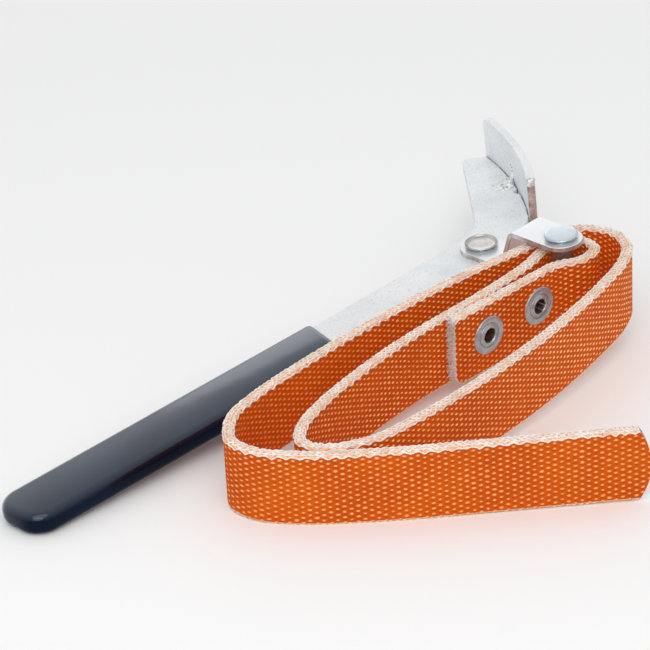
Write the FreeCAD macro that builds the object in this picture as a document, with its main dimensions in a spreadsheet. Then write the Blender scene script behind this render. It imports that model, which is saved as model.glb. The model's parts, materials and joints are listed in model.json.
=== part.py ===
import FreeCAD, Part
import math
import os

import Sketcher

from FreeCAD import Placement, Rotation, Vector

# Strap wrench for oil filters, as it lies on a bench: a pressed steel bar with a hooked head,
# a dipped grip, a curved jaw welded across the head, a pair of cranked links on a pivot rivet,
# and a woven strap that loops round the links' outer pin and comes back through their window.
#
# Two working frames are used, both in millimetres:
#   tool frame   origin at the pivot rivet in the middle of the bar's thickness,
#                X along the bar towards the head, Z out of the bar's face
#   strap frame  origin below the pivot on the plane of the strap's lower edge,
#                X and Y beside the tool frame's, Z across the strap's width
# Each has one placement that lays it on the bench, and every sub-part carries one of the two.

doc = FreeCAD.newDocument("oil_filter_strap_wrench")

SIZES = (
    # where the tool lies on the bench
    ("tool_x", 91.34, "pivot rivet from the origin, along the bench"),
    ("tool_y", 49.21, "pivot rivet from the origin, across the bench"),
    ("tool_z", 23.6, "middle of the bar at the pivot, above the bench"),
    ("tool_tilt", 4.4, "the head stands higher than the grip, degrees"),
    ("strap_z", 12.95, "plane of the strap's lower edge, below the pivot"),
    ("strap_tilt", 4.1, "the strap is held up in the window, degrees"),
    # bar
    ("bar_thickness", 5.0, "plate thickness of bar and head"),
    ("tail_half_width", 11.5, "half width under the grip"),
    ("tail_length", 244.5, "pivot to the bar's end inside the grip"),
    ("tail_corner", 6.0, "corner radius at the bar's end"),
    ("shoulder_length", 80.0, "pivot to where the bar begins to widen"),
    ("neck_half_width", 13.2, "half width at the pivot"),
    ("neck_x", 11.2, "where the neck turns into the hook, above the pivot"),
    ("neck_blend", 26.0, "concave radius between bar and hook"),
    ("throat_x", 4.0, "where the neck turns towards the jaw's near end"),
    ("throat_blend", 30.0, "convex radius there"),
    ("hook_x", 55.9, "hook's outer corner"),
    ("hook_y", 65.3, "hook's outer corner"),
    ("hook_corner", 3.0, "radius of the hook's outer corner"),
    ("hook_short", 0.3, "the hook stops short of the jaw's far end, degrees"),
    ("notch_radius", 2.2, "relief notch where the weld ends"),
    ("notch_angle", -32.5, "the notch on the jaw's curve, degrees"),
    ("weld_angle", -29.2, "middle of the weld bead, degrees"),
    ("weld_rise", 2.2, "height of the bead above the plate"),
    ("weld_reach", 2.8, "half width of the bead"),
    ("weld_half_length", 4.6, "half length of the bead along the jaw"),
    ("weld_inset", 1.2, "middle of the bead from the jaw's face"),
    # jaw
    ("jaw_radius", 150.0, "inner radius of the curved jaw"),
    ("jaw_x", -78.4, "centre of the jaw's curve"),
    ("jaw_y", 104.4, "centre of the jaw's curve"),
    ("jaw_near_angle", -42.0, "jaw's end beside the links, degrees"),
    ("jaw_far_angle", -17.6, "jaw's far end, degrees"),
    ("jaw_thickness", 3.6, "jaw strip thickness"),
    ("jaw_height", 41.0, "jaw strip height"),
    ("jaw_corner", 2.0, "rounded corners of the jaw's far end"),
    ("jaw_gap", 0.15, "seam between plate and jaw"),
    # grip
    ("grip_length", 252.6, "pivot to the grip's closed end"),
    ("grip_mouth", 89.0, "pivot to the grip's open end on the centre line"),
    ("grip_slant", 13.0, "slant of the open end, degrees"),
    ("grip_width", 26.8, "width over the grip"),
    ("grip_thickness", 8.8, "thickness over the grip"),
    ("grip_corner", 10.3, "corner radius of the closed end"),
    ("mouth_corner", 2.0, "corner radius of the open end"),
    ("grip_round", 3.6, "rounding of the grip's edges"),
    # links
    ("link_width", 17.6, "width of the cranked strips"),
    ("link_thickness", 2.0, "sheet thickness"),
    ("link_reach", 46.3, "pivot to strap pin"),
    ("link_foot", 19.2, "pivot to the lower bend"),
    ("link_knee", 26.0, "pivot to the upper bend"),
    ("link_bend", 2.6, "bend radius at mid thickness"),
    ("plate_clearance", 0.1, "running gap between link and plate"),
    ("window_high", 20.5, "window's top above the middle of the bar"),
    ("window_low", 19.3, "window's bottom below the middle of the bar"),
    # rivets
    ("shank_radius", 3.5, "both rivet shanks"),
    ("running_fit", 0.06, "radial clearance round a shank"),
    ("head_radius", 6.9, "rivet heads"),
    ("head_height", 1.4, "rivet heads"),
    ("head_round", 0.4, "rounded rim of the upper heads"),
    ("washer_radius", 6.2, "washers under the upper heads"),
    ("washer_height", 0.5, "washers under the upper heads"),
    ("spacer_radius", 4.4, "spacer tube on the strap pin"),
    ("axial_gap", 0.05, "gap at each face of a turning stack"),
    # strap
    ("strap_width", 30.0, "webbing width"),
    ("strap_thickness", 4.0, "webbing thickness"),
    ("loop_end_corner", 5.0, "corners of the riveted end"),
    ("free_end_corner", 7.0, "corners of the free end"),
    ("flex_gap", 0.3, "gap at the bend where the free end opens"),
    # eyelets
    ("eyelet_radius", 8.1, "flange radius"),
    ("eyelet_sheet", 0.8, "flange thickness"),
    ("eyelet_lip", 4.9, "radius of the rolled lip"),
    ("eyelet_lip_height", 0.7, "rolled lip above the flange"),
    ("eyelet_barrel", 3.9, "outer radius of the barrel"),
    ("eyelet_bore", 3.1, "radius of the hole"),
    ("eyelet_fit", 0.1, "radial clearance of the holes in the webbing"),
)

# Strap route in the strap frame, mid thickness, from the riveted end to the free end:
# doubled back round the pin, out to the left, round and back to the right, through the window
# behind the pin, out to the left again beside the bar, round, and away to the free end.
LOOP_AND_COILS = (
    (-69.6, -50.2), (-9.5, -50.2), (-0.5, -56.2), (12.5, -54), (12, -38.8), (-2, -37.5),
    (-16, -42.0), (-36, -44.3), (-56, -45.5), (-78, -45.9), (-99, -47.6), (-121, -50.8),
    (-143, -55.3),
    (-161, -61.3), (-172, -70.8), (-164.8, -82.8), (-149, -90.0), (-119, -91.2), (-88, -89.3),
    (-55, -85.7), (-22.5, -78.9), (6, -71), (21, -62.5), (26.5, -49.5), (19.5, -36),
    (7.5, -32.2), (-7, -32.2), (-27, -29.6), (-54, -27.8), (-88, -27.5), (-120, -29.2),
    (-151, -31.9), (-174.5, -36.6), (-186.4, -48.6),
)
FLEX_POINT = (-187.0, -56.5)
FREE_RUN = ((-184.6, -65.5), (-174.0, -79.6), (-151.4, -100.6), (-122.5, -123.9), (-94, -146.7),
            (-77.6, -160.1))
EYELETS = (
    # along the strap, above its lower edge, and the plane of the washer behind the webbing
    (-22.0, 16.4, -38.9),
    (-51.0, 15.7, -42.6),
)
BLANK_HALF = 30.0  # half height of the upright shapes that trim and drill the links
DRILL_MARGIN = 2.0  # how far a cutting shape passes the faces that it trims or drills
BEND_SHARE = 0.48  # share of a run that the arc at its end may use up
SAME = 0.01  # places closer than this are the same


def write_sizes():
    """Fill the spreadsheet: name, value and meaning, with the name as the value's alias."""
    sheet = doc.addObject("Spreadsheet::Sheet", "Sizes")
    for row, (name, value, meaning) in enumerate(SIZES, start=1):
        sheet.set(f"A{row}", name)
        sheet.set(f"B{row}", str(value))
        sheet.set(f"C{row}", meaning)
        sheet.setAlias(f"B{row}", name)
    doc.recompute()
    return sheet


sheet = write_sizes()


def size(name):
    return float(sheet.get(name))


def bind(obj, **expressions):
    """Tie properties of an object to expressions in which $name stands for a sheet cell."""
    for prop, text in expressions.items():
        obj.setExpression(prop, text.replace("$", "Sizes."))


def tool_placement():
    base = Vector(size("tool_x"), size("tool_y"), size("tool_z"))
    return Placement(base, Rotation(Vector(0, 1, 0), -size("tool_tilt")))


def strap_placement():
    base = Vector(size("tool_x"), size("tool_y"), size("strap_z"))
    uphill_left = Vector(1, -1, 0)
    return Placement(base, Rotation(uphill_left, size("strap_tilt")))


# ---------------------------------------------------------------- outlines

def corner_arc(before, corner, after, radius):
    """Tangent points and middle of the arc that rounds a corner of a route."""
    to_before = (before - corner).normalize()
    to_after = (after - corner).normalize()
    half = to_before.getAngle(to_after) / 2
    reach = radius / math.tan(half)
    bisector = (to_before + to_after).normalize()
    centre = corner + bisector * (radius / math.sin(half))
    return corner + to_before * reach, centre - bisector * radius, corner + to_after * reach


def widest_radius(before, corner, after):
    """Largest arc that leaves each neighbouring run half to the next corner."""
    half = (before - corner).getAngle(after - corner) / 2
    shorter = min((before - corner).Length, (after - corner).Length)
    return BEND_SHARE * shorter * math.tan(half)


def route_edges(points, radii=None):
    """Straight runs joined by tangent arcs through a list of (x, y) points."""
    dots = [Vector(x, y, 0) for x, y in points]
    edges = []
    start = dots[0]
    for index in range(1, len(dots) - 1):
        before, corner, after = dots[index - 1:index + 2]
        radius = radii[index] if radii else widest_radius(before, corner, after)
        first, middle, last = corner_arc(before, corner, after, radius)
        if (first - start).Length > SAME:
            edges.append(Part.LineSegment(start, first))
        edges.append(Part.Arc(first, middle, last))
        start = last
    edges.append(Part.LineSegment(start, dots[-1]))
    return edges


def ring_edges(corners):
    """Closed outline from (x, y, radius) corners; a radius of 0 keeps the corner sharp."""
    edges = []
    count = len(corners)
    dots = [Vector(x, y, 0) for x, y, _ in corners]
    ends = []
    for index, (_, _, radius) in enumerate(corners):
        corner = dots[index]
        if radius:
            ends.append(corner_arc(dots[index - 1], corner, dots[(index + 1) % count], radius))
        else:
            ends.append((corner, None, corner))
    for index, (first, middle, last) in enumerate(ends):
        if middle:
            edges.append(Part.Arc(first, middle, last))
        edges.append(Part.LineSegment(last, ends[(index + 1) % count][0]))
    return edges


def beside(edge, shift):
    """The same run or arc, moved sideways to its left by shift."""
    curve = edge.toShape()
    low, high = curve.ParameterRange
    places = []
    for share in (0.0, 0.5, 1.0):
        at = low + (high - low) * share
        along = curve.tangentAt(at)
        places.append(curve.valueAt(at) + Vector(-along.y, along.x, 0) * shift)
    if isinstance(edge, Part.LineSegment):
        return Part.LineSegment(places[0], places[2])
    return Part.Arc(*places)


def strip_edges(route, thickness, round_tip=False):
    """Closed outline of a strip of constant thickness along a route."""
    left = [beside(edge, thickness / 2) for edge in route]
    right = [beside(edge, -thickness / 2) for edge in route]
    left_end = left[-1].toShape().Vertexes[-1].Point
    right_end = right[-1].toShape().Vertexes[-1].Point
    left_start = left[0].toShape().Vertexes[0].Point
    right_start = right[0].toShape().Vertexes[0].Point
    outline = left + right + [Part.LineSegment(left_start, right_start)]
    if round_tip:
        middle = (left_end + right_end) / 2
        along = (right_end - left_end).cross(Vector(0, 0, -1)).normalize()
        outline.append(Part.Arc(left_end, middle + along * (thickness / 2), right_end))
    else:
        outline.append(Part.LineSegment(left_end, right_end))
    return outline


# ---------------------------------------------------------------- document helpers

def add_body(name):
    body = doc.addObject("PartDesign::Body", name)
    body.Label = name
    return body


def add_sketch(body, name, geometry, plane="XY_Plane"):
    """A sketch on one of the body's own origin planes, holding closed geometry."""
    sketch = body.newObject("Sketcher::SketchObject", name)
    face = [item for item in body.Origin.OriginFeatures if item.Role == plane][0]
    sketch.AttachmentSupport = [(face, "")]
    sketch.MapMode = "FlatFace"
    sketch.addGeometry(geometry, False)
    return sketch


def add_pad(body, sketch, length):
    """A pad that stands the same distance out of both sides of its sketch."""
    pad = body.newObject("PartDesign::Pad", sketch.Name + "_pad")
    pad.Profile = sketch
    pad.Midplane = True
    bind(pad, Length=length)
    body.Tip = pad
    return pad


def add_pocket(body, sketch, length):
    pocket = body.newObject("PartDesign::Pocket", sketch.Name + "_pocket")
    pocket.Profile = sketch
    pocket.Midplane = True
    bind(pocket, Length=length)
    body.Tip = pocket
    return pocket


def circle_sketch(body, name, x, y, radius):
    """One circle whose radius is bound to the sheet."""
    sketch = add_sketch(body, name, [Part.Circle(Vector(x, y, 0), Vector(0, 0, 1), 1.0)])
    sketch.addConstraint(Sketcher.Constraint("Radius", 0, 1.0))
    sketch.setExpression("Constraints[0]", radius.replace("$", "Sizes."))
    return sketch


def cylinder(name, radius, height, at=Vector(0, 0, 0), axis=Vector(0, 0, 1)):
    """A cylinder with bound radius and height, standing on a point along an axis."""
    item = doc.addObject("Part::Cylinder", name)
    bind(item, Radius=radius, Height=height)
    item.Placement = Placement(at, Rotation(Vector(0, 0, 1), axis))
    return item


def fuse(name, items):
    whole = doc.addObject("Part::MultiFuse", name)
    whole.Shapes = items
    whole.Label = name
    return whole


def cut(name, base, tool):
    left = doc.addObject("Part::Cut", name)
    left.Base = base
    left.Tool = tool
    left.Label = name
    return left


def group(name, items):
    """Identical pieces kept as separate solids in one node."""
    together = doc.addObject("Part::Compound", name)
    together.Links = items
    together.Label = name
    return together


def tube(name, outer, inner, height, at=Vector(0, 0, 0), axis=Vector(0, 0, 1)):
    return cut(name, cylinder(name + "_outside", outer, height, at, axis),
               cylinder(name + "_inside", inner, height, at, axis))


def round_rims(name, base, radius, wanted):
    """Fillet the edges of a solid that a test picks out."""
    doc.recompute()
    numbers = [n for n, edge in enumerate(base.Shape.Edges, start=1) if wanted(edge)]
    rounded = doc.addObject("Part::Fillet", name)
    rounded.Base = base
    rounded.Edges = [(n, size(radius), size(radius)) for n in numbers]
    rounded.Label = name
    return rounded


def jaw_point(radius, angle):
    turn = math.radians(angle)
    return size("jaw_x") + radius * math.cos(turn), size("jaw_y") + radius * math.sin(turn)


# ---------------------------------------------------------------- bar, grip and jaw

def handle_bar():
    """Pressed bar: straight tail, slightly wider neck, and a hook that carries the jaw."""
    body = add_body("handle_bar")
    seam = size("jaw_radius") - size("jaw_gap")
    near = jaw_point(seam, size("jaw_near_angle"))
    middle = jaw_point(seam, (size("jaw_near_angle") + size("jaw_far_angle")) / 2)
    far = jaw_point(seam, size("jaw_far_angle") - size("hook_short"))
    tail, shoulder = size("tail_length"), size("shoulder_length")
    slim, neck = size("tail_half_width"), size("neck_half_width")
    corners = [
        (near[0], near[1], 0),
        (far[0], far[1], 0),
        (size("hook_x"), size("hook_y"), size("hook_corner")),
        (size("neck_x"), neck, size("neck_blend")),
        (-shoulder, slim, 0),
        (-tail, slim, size("tail_corner")),
        (-tail, -slim, size("tail_corner")),
        (-shoulder, -slim, 0),
        (size("throat_x"), -neck, size("throat_blend")),
    ]
    outline = ring_edges(corners)
    outline[0] = Part.Arc(Vector(*near, 0), Vector(*middle, 0), Vector(*far, 0))
    add_pad(body, add_sketch(body, "bar_outline", outline), "$bar_thickness")
    hole = circle_sketch(body, "pivot_hole", 0, 0, "$shank_radius + $running_fit")
    add_pocket(body, hole, "2 * $bar_thickness")
    notch_at = jaw_point(seam, size("notch_angle"))
    notch = circle_sketch(body, "weld_notch", notch_at[0], notch_at[1], "$notch_radius")
    add_pocket(body, notch, "2 * $bar_thickness")
    return body


def grip_sleeve():
    """Dipped vinyl sleeve, closed at the tail and cut on a slant at its mouth."""
    body = add_body("grip_sleeve")
    half = size("grip_width") / 2
    lean = half * math.tan(math.radians(size("grip_slant")))
    end, mouth = -size("grip_length"), -size("grip_mouth")
    corner, lip = size("grip_corner"), size("mouth_corner")
    outline = [(mouth - lean, -half, lip), (mouth + lean, half, lip),
               (end, half, corner), (end, -half, corner)]
    pad = add_pad(body, add_sketch(body, "grip_outline", ring_edges(outline)), "$grip_thickness")
    doc.recompute()
    rim = size("grip_thickness") / 2
    names = []
    for number, edge in enumerate(pad.Shape.Edges, start=1):
        box = edge.BoundBox
        on_face = box.ZLength < SAME and abs(abs(box.ZMin) - rim) < SAME
        if on_face:
            names.append(f"Edge{number}")
    rounding = body.newObject("PartDesign::Fillet", "grip_rounding")
    rounding.Base = (pad, names)
    bind(rounding, Radius="$grip_round")
    body.Tip = rounding
    slim, tail = size("tail_half_width"), size("tail_length")
    outside = mouth + size("grip_width")
    cavity = [(outside, -slim, 0), (outside, slim, 0),
              (-tail, slim, size("tail_corner")), (-tail, -slim, size("tail_corner"))]
    add_pocket(body, add_sketch(body, "bar_cavity", ring_edges(cavity)), "$bar_thickness")
    return body


def jaw_plate():
    """Curved strip that stands across the hook; its outer face bears on the strap."""
    body = add_body("jaw_plate")
    inner, outer = size("jaw_radius"), size("jaw_radius") + size("jaw_thickness")
    near, far = size("jaw_near_angle"), size("jaw_far_angle")
    spots = {}
    for side, radius in (("inner", inner), ("outer", outer)):
        angles = (near, (near + far) / 2, far)
        spots[side] = [Vector(*jaw_point(radius, angle), 0) for angle in angles]
    outline = [
        Part.Arc(*spots["inner"]),
        Part.Arc(*spots["outer"]),
        Part.LineSegment(spots["inner"][0], spots["outer"][0]),
        Part.LineSegment(spots["inner"][2], spots["outer"][2]),
    ]
    pad = add_pad(body, add_sketch(body, "jaw_outline", outline), "$jaw_height")
    doc.recompute()
    far_middle = (spots["inner"][2] + spots["outer"][2]) / 2
    names = []
    for number, edge in enumerate(pad.Shape.Edges, start=1):
        centre = edge.CenterOfMass
        flat = Vector(centre.x, centre.y, 0)
        if edge.BoundBox.ZLength < SAME and (flat - far_middle).Length < SAME:
            names.append(f"Edge{number}")
    corners = body.newObject("PartDesign::Fillet", "jaw_corners")
    corners.Base = (pad, names)
    bind(corners, Radius="$jaw_corner")
    body.Tip = corners
    return body


def jaw_welds():
    """A short bead above and one below the plate, each filling the corner with the jaw."""
    beads = []
    x, y = jaw_point(size("jaw_radius") - size("weld_inset"), size("weld_angle"))
    reach = size("jaw_height") / 2
    spin = Rotation(Vector(0, 0, 1), size("weld_angle"))
    for name, side in (("bead_above", 1), ("bead_below", -1)):
        blob = doc.addObject("Part::Ellipsoid", name + "_blob")
        bind(blob, Radius1="$weld_rise", Radius2="$weld_reach", Radius3="$weld_half_length")
        blob.Placement = Placement(Vector(x, y, side * size("bar_thickness") / 2), spin)
        within = doc.addObject("Part::Common", name + "_within")
        within.Base = blob
        within.Tool = cylinder(name + "_jaw_face", "$jaw_radius", "$jaw_height",
                               Vector(size("jaw_x"), size("jaw_y"), -reach))
        slab = doc.addObject("Part::Box", name + "_plate")
        bind(slab, Length="$jaw_height", Width="$jaw_height", Height="$bar_thickness")
        slab.Placement.Base = Vector(x - reach, y - reach, -size("bar_thickness") / 2)
        beads.append(cut(name, within, slab))
    return group("jaw_welds", beads)


# ---------------------------------------------------------------- links and rivets

def link(name, side, window):
    """Cranked strip: flat on the bar's face, a sloping leg, and a flat over the strap."""
    body = add_body(name + "_strip")
    half = size("link_thickness") / 2
    low = side * (size("bar_thickness") / 2 + size("plate_clearance") + half)
    high = side * (size(window) + half)
    end = size("link_width") / 2 + DRILL_MARGIN
    bend = size("link_bend")
    points = [(end, low), (-size("link_foot"), low), (-size("link_knee"), high),
              (-size("link_reach") - end, high)]
    outline = strip_edges(route_edges(points, (0, bend, bend, 0)), size("link_thickness"))
    add_pad(body, add_sketch(body, name + "_profile", outline, "YZ_Plane"), "$link_width")
    bottom = Vector(0, 0, -BLANK_HALF)
    at_pin = Vector(0, -size("link_reach"), -BLANK_HALF)
    height = f"{2 * BLANK_HALF} mm"
    middle = doc.addObject("Part::Box", name + "_middle")
    bind(middle, Length="$link_width", Width="$link_reach", Height=height)
    middle.Placement.Base = at_pin - Vector(size("link_width") / 2, 0, 0)
    rounds = [cylinder(name + "_inner_round", "$link_width / 2", height, bottom),
              cylinder(name + "_outer_round", "$link_width / 2", height, at_pin)]
    blank = doc.addObject("Part::Common", name + "_blank")
    blank.Base = body
    blank.Tool = fuse(name + "_plan", rounds + [middle])
    bore = "$shank_radius + $running_fit"
    holes = fuse(name + "_holes", [cylinder(name + "_pivot_hole", bore, height, bottom),
                                   cylinder(name + "_pin_hole", bore, height, at_pin)])
    return cut(name, blank, holes)


def rivet(name, x, y, below, above):
    """Shank, factory head below and a set head above, with a washer's room under it."""
    gap, head = size("axial_gap"), size("head_height")
    bottom = -below - gap
    top = above + gap + size("washer_height")
    shank = cylinder(name + "_shank", "$shank_radius", f"{top - bottom} mm",
                     Vector(x, y, bottom))
    lower = cylinder(name + "_lower", "$head_radius", "$head_height",
                     Vector(x, y, bottom - head))
    upper = cylinder(name + "_upper", "$head_radius", "$head_height", Vector(x, y, top))
    whole = fuse(name + "_turned", [shank, lower, upper])
    radius = size("head_radius")

    def is_rim(edge):
        box = edge.BoundBox
        outer = box.XLength > 2 * radius - SAME
        return outer and box.ZLength < SAME and abs(box.ZMin) > abs(bottom) + SAME

    return round_rims(name, whole, "head_round", is_rim)


def washer(name, x, y, level):
    return tube(name, "$washer_radius", "$shank_radius", "$washer_height", Vector(x, y, level))


def pin_spacer():
    """Tube on the strap pin that keeps the two links apart and carries the strap's loop."""
    low = -size("window_low") + size("axial_gap")
    return tube("pin_spacer", "$spacer_radius", "$shank_radius + $running_fit",
                "$window_high + $window_low - 2 * $axial_gap", Vector(0, -size("link_reach"), low))


# ---------------------------------------------------------------- strap and eyelets

def webbing(name, points, round_tip, corner, corner_at):
    """A run of webbing on edge, with the two corners of one end rounded."""
    body = add_body(name + "_strip")
    outline = strip_edges(route_edges(points), size("strap_thickness"), round_tip)
    sketch = add_sketch(body, name + "_outline", outline)
    pad = body.newObject("PartDesign::Pad", name + "_pad")
    pad.Profile = sketch
    bind(pad, Length="$strap_width")
    body.Tip = pad
    doc.recompute()
    end = Vector(corner_at[0], corner_at[1], 0)
    names = []
    for number, edge in enumerate(pad.Shape.Edges, start=1):
        centre = edge.CenterOfMass
        flat = Vector(centre.x, centre.y, 0)
        if edge.BoundBox.ZLength < SAME and (flat - end).Length < SAME:
            names.append(f"Edge{number}")
    corners = body.newObject("PartDesign::Fillet", name + "_corners")
    corners.Base = (pad, names)
    bind(corners, Radius=corner)
    body.Tip = corners
    return body


def eyelet_front():
    """Plane of the riveted end's outer face, where the eyelets' flanges lie."""
    return LOOP_AND_COILS[0][1] - size("strap_thickness") / 2


def strap():
    body = webbing("strap_main", LOOP_AND_COILS + (FLEX_POINT,), True, "$loop_end_corner",
                   LOOP_AND_COILS[0])
    front = eyelet_front() - DRILL_MARGIN
    holes = []
    for index, (along, level, back) in enumerate(EYELETS):
        length = back + DRILL_MARGIN - front
        start = Vector(along, front, level)
        holes.append(cylinder(f"strap_hole_{index}", "$eyelet_barrel + $eyelet_fit",
                              f"{length} mm", start, Vector(0, 1, 0)))
    return cut("strap", body, fuse("strap_holes", holes))


def strap_free_end():
    """The end that is pulled through the window; it opens about the outer bend."""
    first = Vector(*FREE_RUN[0], 0)
    bend = Vector(*FLEX_POINT, 0)
    reach = size("strap_thickness") / 2 + size("flex_gap")
    start = bend + (first - bend).normalize() * reach
    body = webbing("strap_free", ((start.x, start.y),) + FREE_RUN, False, "$free_end_corner",
                   FREE_RUN[-1])
    body.Label = "strap_free_end"
    return body


def eyelets():
    """Flanged tubes with a rolled lip, set through both layers of webbing."""
    front = eyelet_front()
    pieces = []
    for index, (along, level, back) in enumerate(EYELETS):
        length = back - front + 2 * size("eyelet_sheet")
        at = Vector(along, front, level)
        forward = Vector(0, -1, 0)
        flange = cylinder(f"flange_{index}", "$eyelet_radius", "$eyelet_sheet", at, forward)
        lip = cylinder(f"lip_{index}", "$eyelet_lip", "$eyelet_sheet + $eyelet_lip_height",
                       at, forward)
        barrel = cylinder(f"barrel_{index}", "$eyelet_barrel", f"{length} mm", at,
                          Vector(0, 1, 0))
        bore = cylinder(f"bore_{index}", "$eyelet_bore", f"{length + 2 * DRILL_MARGIN} mm",
                        at + forward * DRILL_MARGIN, Vector(0, 1, 0))
        pieces.append(cut(f"eyelet_{index}", fuse(f"eyelet_blank_{index}", [flange, lip, barrel]),
                          bore))
    return group("strap_eyelets", pieces)


def eyelet_washers():
    pieces = []
    for index, (along, level, back) in enumerate(EYELETS):
        at = Vector(along, back, level)
        pieces.append(tube(f"back_washer_{index}", "$eyelet_radius",
                           "$eyelet_barrel + $eyelet_fit / 2", "$eyelet_sheet", at,
                           Vector(0, 1, 0)))
    return group("eyelet_washers", pieces)


# ---------------------------------------------------------------- assembly

def build():
    plate_top = size("bar_thickness") / 2 + size("plate_clearance") + size("link_thickness")
    window_top = size("window_high") + size("link_thickness")
    window_bottom = size("window_low") + size("link_thickness")
    gap, reach = size("axial_gap"), size("link_reach")
    tool_parts = [
        handle_bar(), grip_sleeve(), jaw_plate(), jaw_welds(),
        link("link_upper", 1, "window_high"), link("link_lower", -1, "window_low"),
        rivet("pivot_rivet", 0, 0, plate_top, plate_top),
        washer("pivot_washer", 0, 0, plate_top + gap),
        rivet("strap_pin", 0, -reach, window_bottom, window_top),
        washer("strap_pin_washer", 0, -reach, window_top + gap),
        pin_spacer(),
    ]
    strap_parts = [strap(), strap_free_end(), eyelets(), eyelet_washers()]
    doc.recompute()
    return tool_parts, strap_parts


def lay_on_bench(parts, placement):
    for part in parts:
        part.Placement = placement.multiply(part.Placement)


def check(parts):
    for obj in doc.Objects:
        if "Invalid" in obj.State or "Error" in obj.State:
            raise RuntimeError(f"{obj.Label} did not recompute: {obj.State}")
    for part in parts:
        if part.Shape.isNull() or not part.Shape.isValid():
            raise RuntimeError(f"{part.Label} has no valid shape")


tool_parts, strap_parts = build()
lay_on_bench(tool_parts, tool_placement())
lay_on_bench(strap_parts, strap_placement())
doc.recompute()
check(tool_parts + strap_parts)

os.makedirs("parts", exist_ok=True)
for part in tool_parts + strap_parts:
    part.Shape.exportStep(f"parts/{part.Label}.step")
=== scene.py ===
import json
import math

import bmesh
import bpy
import numpy as np
from mathutils import Matrix, Vector, noise


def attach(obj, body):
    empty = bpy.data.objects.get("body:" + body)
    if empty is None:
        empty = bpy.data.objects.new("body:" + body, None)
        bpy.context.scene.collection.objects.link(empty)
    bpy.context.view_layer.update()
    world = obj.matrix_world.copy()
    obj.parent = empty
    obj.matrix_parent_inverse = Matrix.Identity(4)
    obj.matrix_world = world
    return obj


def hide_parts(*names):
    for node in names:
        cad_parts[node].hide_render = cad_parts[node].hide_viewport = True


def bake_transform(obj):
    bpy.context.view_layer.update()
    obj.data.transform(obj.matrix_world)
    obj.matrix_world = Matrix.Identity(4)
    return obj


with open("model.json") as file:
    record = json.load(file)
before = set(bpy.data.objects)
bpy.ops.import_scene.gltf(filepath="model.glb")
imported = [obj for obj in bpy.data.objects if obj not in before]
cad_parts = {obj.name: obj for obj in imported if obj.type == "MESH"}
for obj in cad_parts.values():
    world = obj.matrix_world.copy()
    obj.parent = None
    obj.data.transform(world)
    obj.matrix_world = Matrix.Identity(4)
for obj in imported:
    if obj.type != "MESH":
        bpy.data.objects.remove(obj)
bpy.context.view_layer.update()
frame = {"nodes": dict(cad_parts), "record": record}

MM = 0.001
SEED = 11
rng = np.random.default_rng(SEED)

# ------------------------------ frames of the tool and the strap

joints = {joint["name"]: joint for joint in frame["record"]["behaviour"]["joints"]}


def upright_frame(origin, up):
    """Matrix whose Z is the given direction, turned there the shortest way."""
    turn = Vector((0, 0, 1)).rotation_difference(Vector(up))
    return Matrix.Translation(Vector(origin)) @ turn.to_matrix().to_4x4()


tool_frame = upright_frame(joints["link_pivot"]["pos_m"], joints["link_pivot"]["axis"])
pivot_to_pin = Vector(joints["strap_swivel"]["pos_m"]) - Vector(joints["link_pivot"]["pos_m"])
PIN_REACH = pivot_to_pin.length / MM

# Strap route in millimetres, mid thickness, the same as the design's: doubled back round the pin,
# out, round, through the window, out beside the bar, round and away to the free end.
LOOP_AND_COILS = (
    (-69.6, -50.2), (-9.5, -50.2), (-0.5, -56.2), (12.5, -54), (12, -38.8), (-2, -37.5),
    (-16, -42.0), (-36, -44.3), (-56, -45.5), (-78, -45.9), (-99, -47.6), (-121, -50.8),
    (-143, -55.3), (-161, -61.3), (-172, -70.8), (-164.8, -82.8), (-149, -90.0), (-119, -91.2),
    (-88, -89.3), (-55, -85.7), (-22.5, -78.9), (6, -71), (21, -62.5), (26.5, -49.5), (19.5, -36),
    (7.5, -32.2), (-7, -32.2), (-27, -29.6), (-54, -27.8), (-88, -27.5), (-120, -29.2),
    (-151, -31.9), (-174.5, -36.6), (-186.4, -48.6),
)
FLEX_POINT = (-187.0, -56.5)
FREE_RUN = ((-184.6, -65.5), (-174.0, -79.6), (-151.4, -100.6), (-122.5, -123.9), (-94, -146.7),
            (-77.6, -160.1))
BEND_SHARE = 0.48  # share of a run that the arc at its end uses up
ARC_STEP = 0.3  # spacing of the places along an arc
FEWEST_STEPS = 4  # on any arc
SEAM_POINT = 31  # the route's point where the coiled stretch ends and the swinging one begins

STRAP_WIDTH = 30.0

strap_up = -Vector(joints["strap_bend"]["axis"])
strap_turn = Vector((0, 0, 1)).rotation_difference(strap_up)
flex_middle = Vector((*FLEX_POINT, STRAP_WIDTH / 2)) * MM
strap_origin = Vector(joints["strap_bend"]["pos_m"]) - strap_turn @ flex_middle
strap_frame = upright_frame(strap_origin, strap_up)

STRAP_THICKNESS = 4.0
EDGE_ROUND = 0.8  # rounding of the webbing's edges
COLUMN = 2.52  # spacing of the weave's columns of dots along the strap
ROWS = 12  # dots across one face
ROW = (STRAP_WIDTH - 2 * EDGE_ROUND) / ROWS
STEPS_PER_COLUMN = 3  # mesh stations along the strap
STEPS_PER_ROW = 4  # mesh stations across it
YARN_RISE = 0.15  # the dots stand this far out of the face
YARN_DIP = 0.3  # share of that rise by which the weave's valleys may sink


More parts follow.
